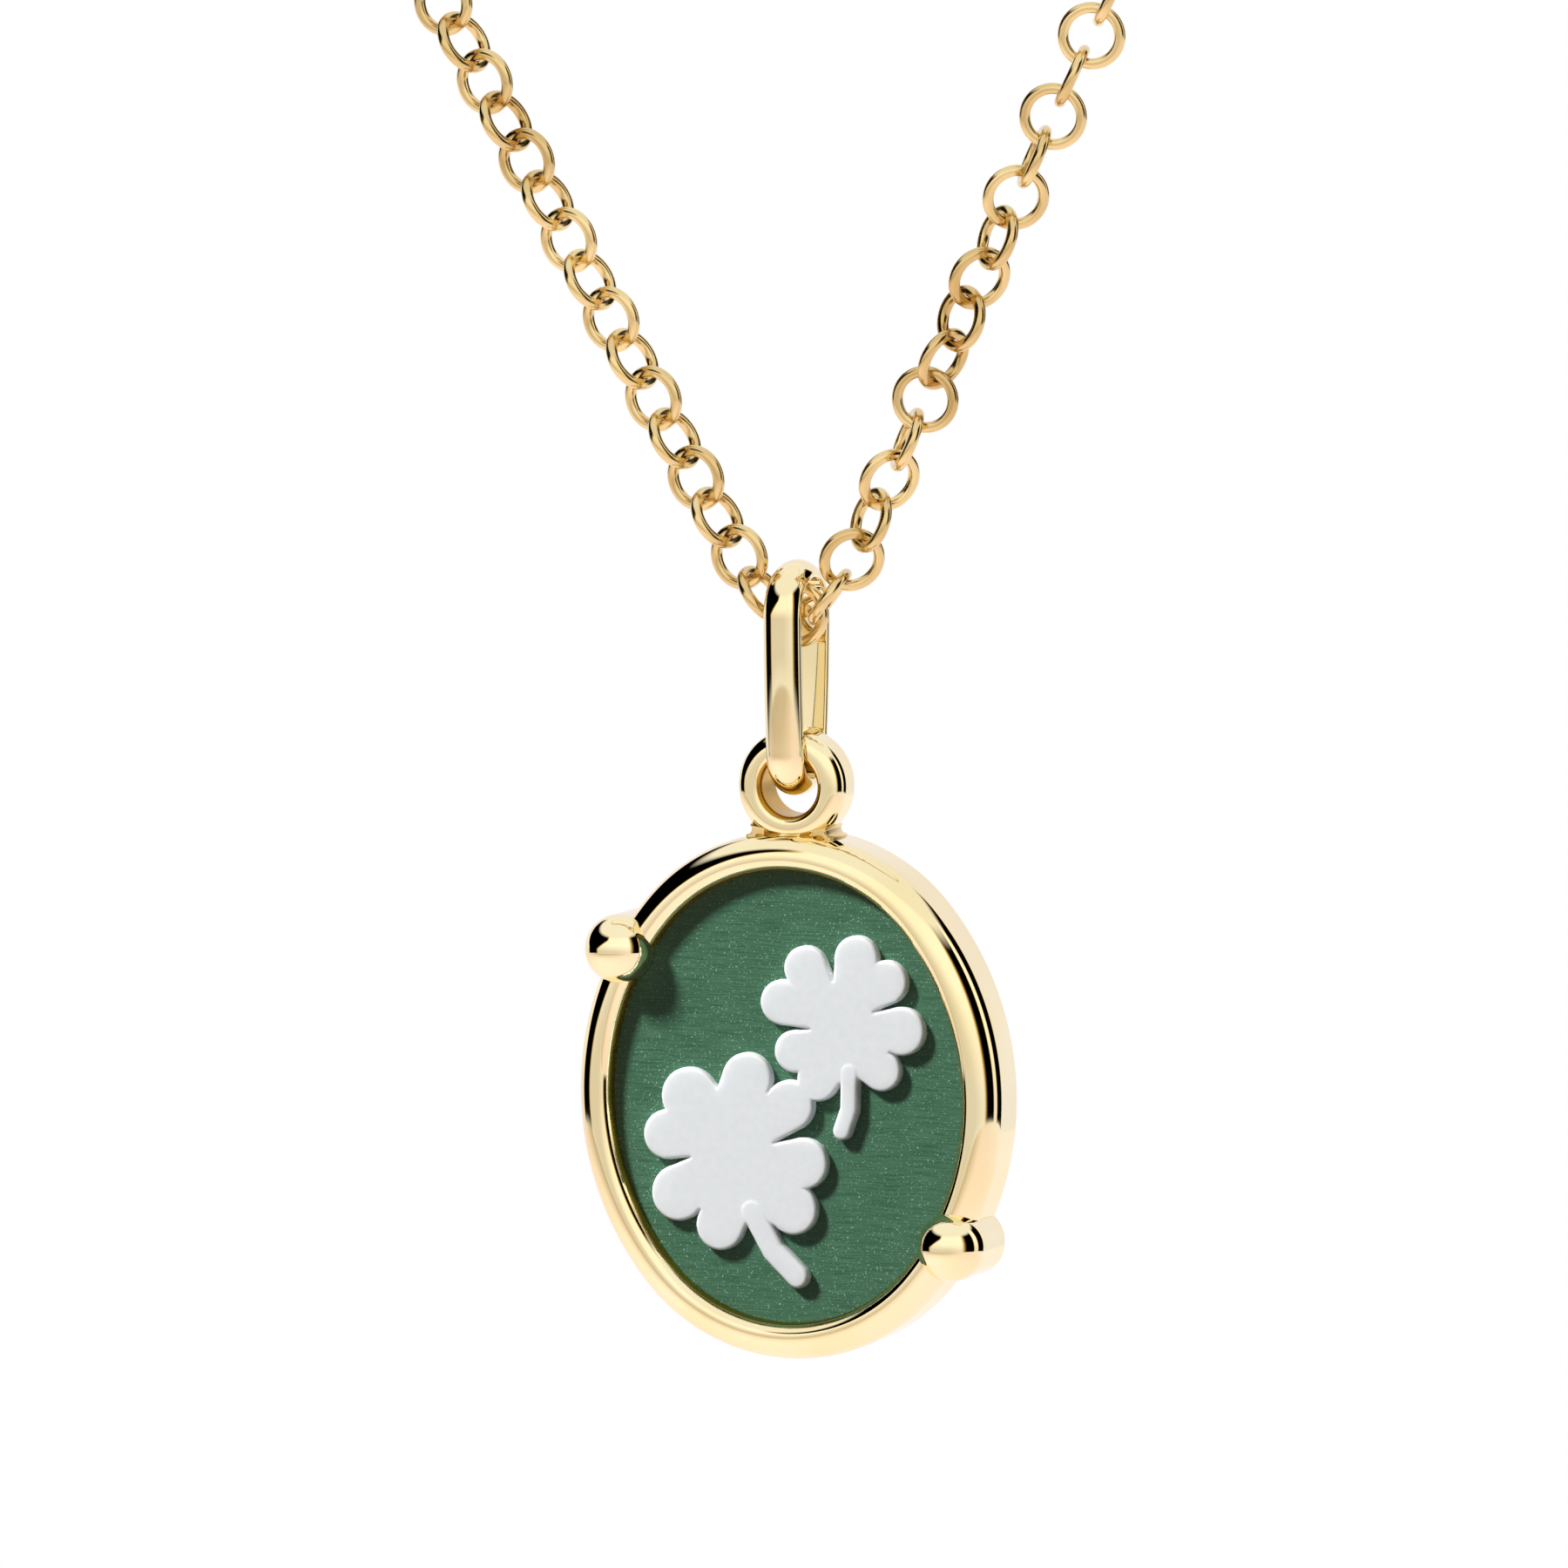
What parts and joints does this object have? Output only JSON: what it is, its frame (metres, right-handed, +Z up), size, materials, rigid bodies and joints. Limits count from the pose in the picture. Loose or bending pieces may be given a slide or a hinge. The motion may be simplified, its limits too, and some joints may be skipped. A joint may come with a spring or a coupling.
{
  "type": "four leaf clover pendant on a chain",
  "caption": "Oval pendant in a rounded gold frame with ball posts: a green stone with white raised clovers, hung by a tall bail from a fine chain that closes with a barrel clasp",
  "frame": {"origin": "the middle of the clasp at the nape, where the loop lies on the neck", "axes": "+Z up, +X to the right seen from the front, +Y from the pendant back to the nape; the pendant faces -Y"},
  "size_m": [0.113, 0.0789, 0.1519],
  "materials": {
    "chain_gold": "polished",
    "gold": "polished",
    "green_stone": "fine wavy lines, softly polished",
    "white_relief": "satin"
  },
  "bodies": {
    "necklace": {"chain": "chain_gold", "clasp": "chain_gold"},
    "bail": {"bail": "gold"},
    "pendant": {"frame": "gold", "stone": "green_stone", "clover_relief": "white_relief"}
  },
  "joints": [
    {"name": "bail_swing", "type": "hinge", "parent": "necklace", "child": "bail", "pos_m": [0, -0.075, -0.122], "axis": [1, 0, 0], "range_deg": [-75, 75]},
    {"name": "pendant_swing", "type": "hinge", "parent": "bail", "child": "pendant", "pos_m": [0, -0.075, -0.12858], "axis": [0, 1, 0], "range_deg": [-75, 75]}
  ]
}
